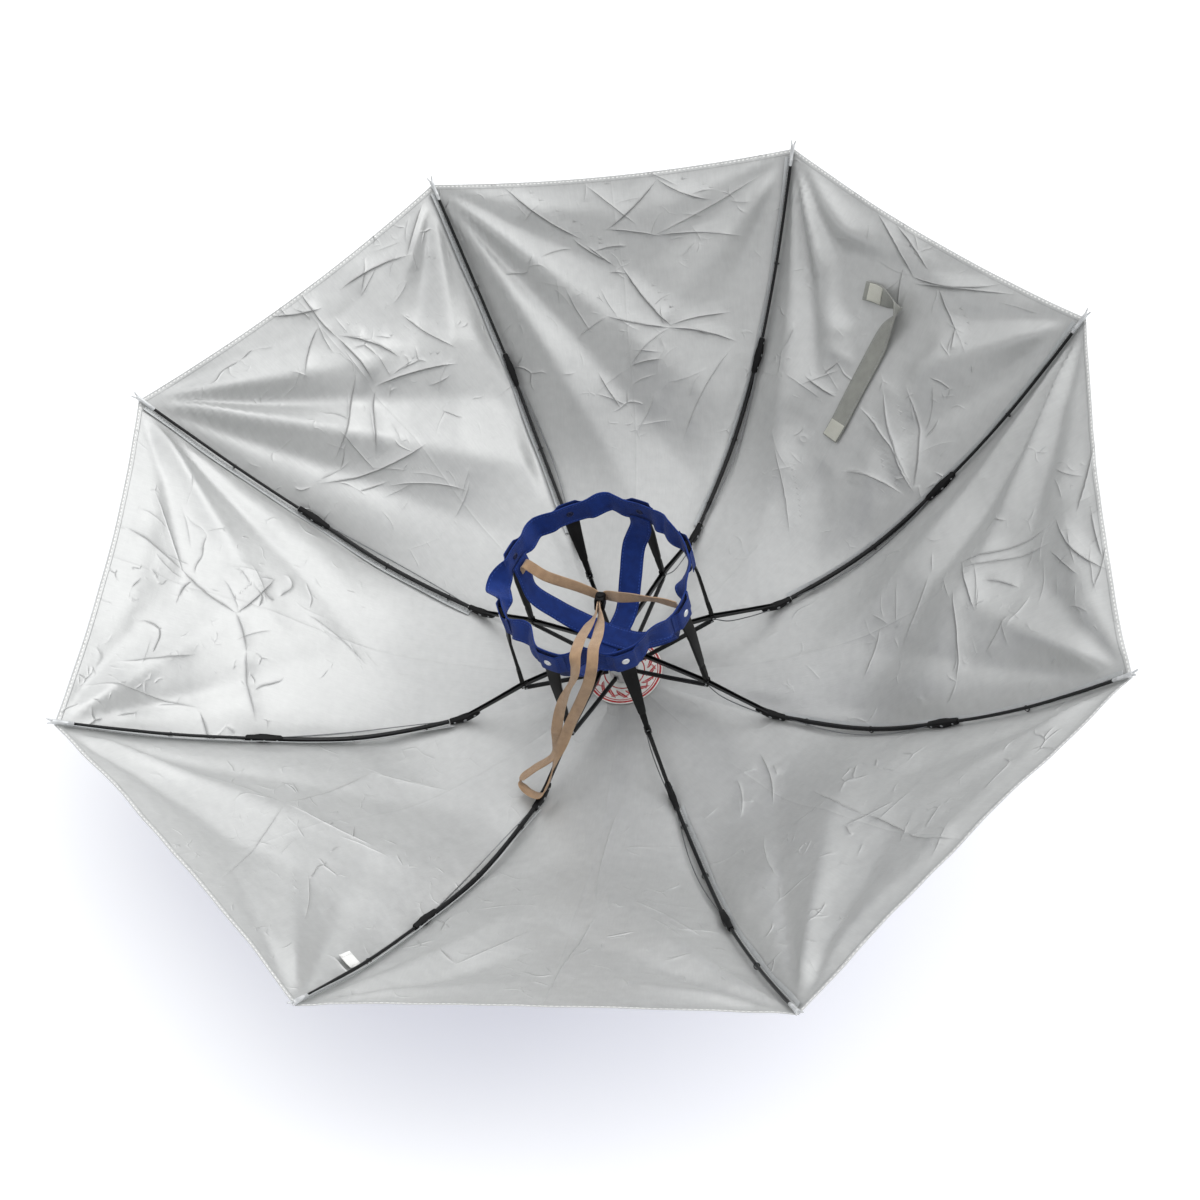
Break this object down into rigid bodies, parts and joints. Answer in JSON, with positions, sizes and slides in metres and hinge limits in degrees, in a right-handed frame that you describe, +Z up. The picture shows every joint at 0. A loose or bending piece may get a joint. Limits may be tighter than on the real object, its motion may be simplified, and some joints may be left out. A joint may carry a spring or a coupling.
{
  "type": "umbrella hat",
  "caption": "Folding umbrella hat, open, with a silver-lined canopy on black steel ribs, a blue head band on posts, crown straps, chin strap and tie strap.",
  "frame": {"origin": "middle of the part's box, on the floor that the hat lies on", "axes": "+Z up from the floor, towards the open hollow; -Y towards the side from which the picture was taken; the hat's axis leans 13.4 degrees"},
  "size_m": [0.8938, 0.9114, 0.3724],
  "materials": {
    "cloth": "silver-coated woven polyester inside, royal blue outside",
    "steel": "black painted steel, half gloss",
    "black_plastic": "moulded black nylon",
    "printed_disc": "white coated cloth with a red print",
    "hub_plastic": "grey moulded plastic",
    "band_cloth": "royal blue woven cloth, stitched, with snaps",
    "webbing": "tan flat elastic webbing",
    "tie_cloth": "grey tape with light hook-and-loop squares",
    "label_cloth": "bare white satin label"
  },
  "bodies": {
    "root": {"canopy_panel_1": "cloth", "hub_link_1": "steel", "stretcher_1": "steel", "middle_rib_1": "steel", "tip_rod_1": "steel", "band_post_1": "black_plastic", "canopy_panel_2": "cloth", "hub_link_2": "steel", "stretcher_2": "steel", "middle_rib_2": "steel", "tip_rod_2": "steel", "band_post_2": "black_plastic", "canopy_panel_3": "cloth", "hub_link_3": "steel", "stretcher_3": "steel", "middle_rib_3": "steel", "tip_rod_3": "steel", "band_post_3": "black_plastic", "canopy_panel_4": "cloth", "hub_link_4": "steel", "stretcher_4": "steel", "middle_rib_4": "steel", "tip_rod_4": "steel", "band_post_4": "black_plastic", "canopy_panel_5": "cloth", "hub_link_5": "steel", "stretcher_5": "steel", "middle_rib_5": "steel", "tip_rod_5": "steel", "band_post_5": "black_plastic", "canopy_panel_6": "cloth", "hub_link_6": "steel", "stretcher_6": "steel", "middle_rib_6": "steel", "tip_rod_6": "steel", "band_post_6": "black_plastic", "canopy_panel_7": "cloth", "hub_link_7": "steel", "stretcher_7": "steel", "middle_rib_7": "steel", "tip_rod_7": "steel", "band_post_7": "black_plastic", "canopy_panel_8": "cloth", "hub_link_8": "steel", "stretcher_8": "steel", "middle_rib_8": "steel", "tip_rod_8": "steel", "band_post_8": "black_plastic", "crown_cap": "black_plastic", "crown_disc": "printed_disc", "hub": "hub_plastic", "runner": "black_plastic", "head_band": "band_cloth", "crown_strap_1": "band_cloth", "crown_strap_2": "band_cloth", "chin_strap": "webbing", "cord_lock": "black_plastic", "tie_strap": "tie_cloth", "care_label": "label_cloth"}
  },
  "joints": []
}
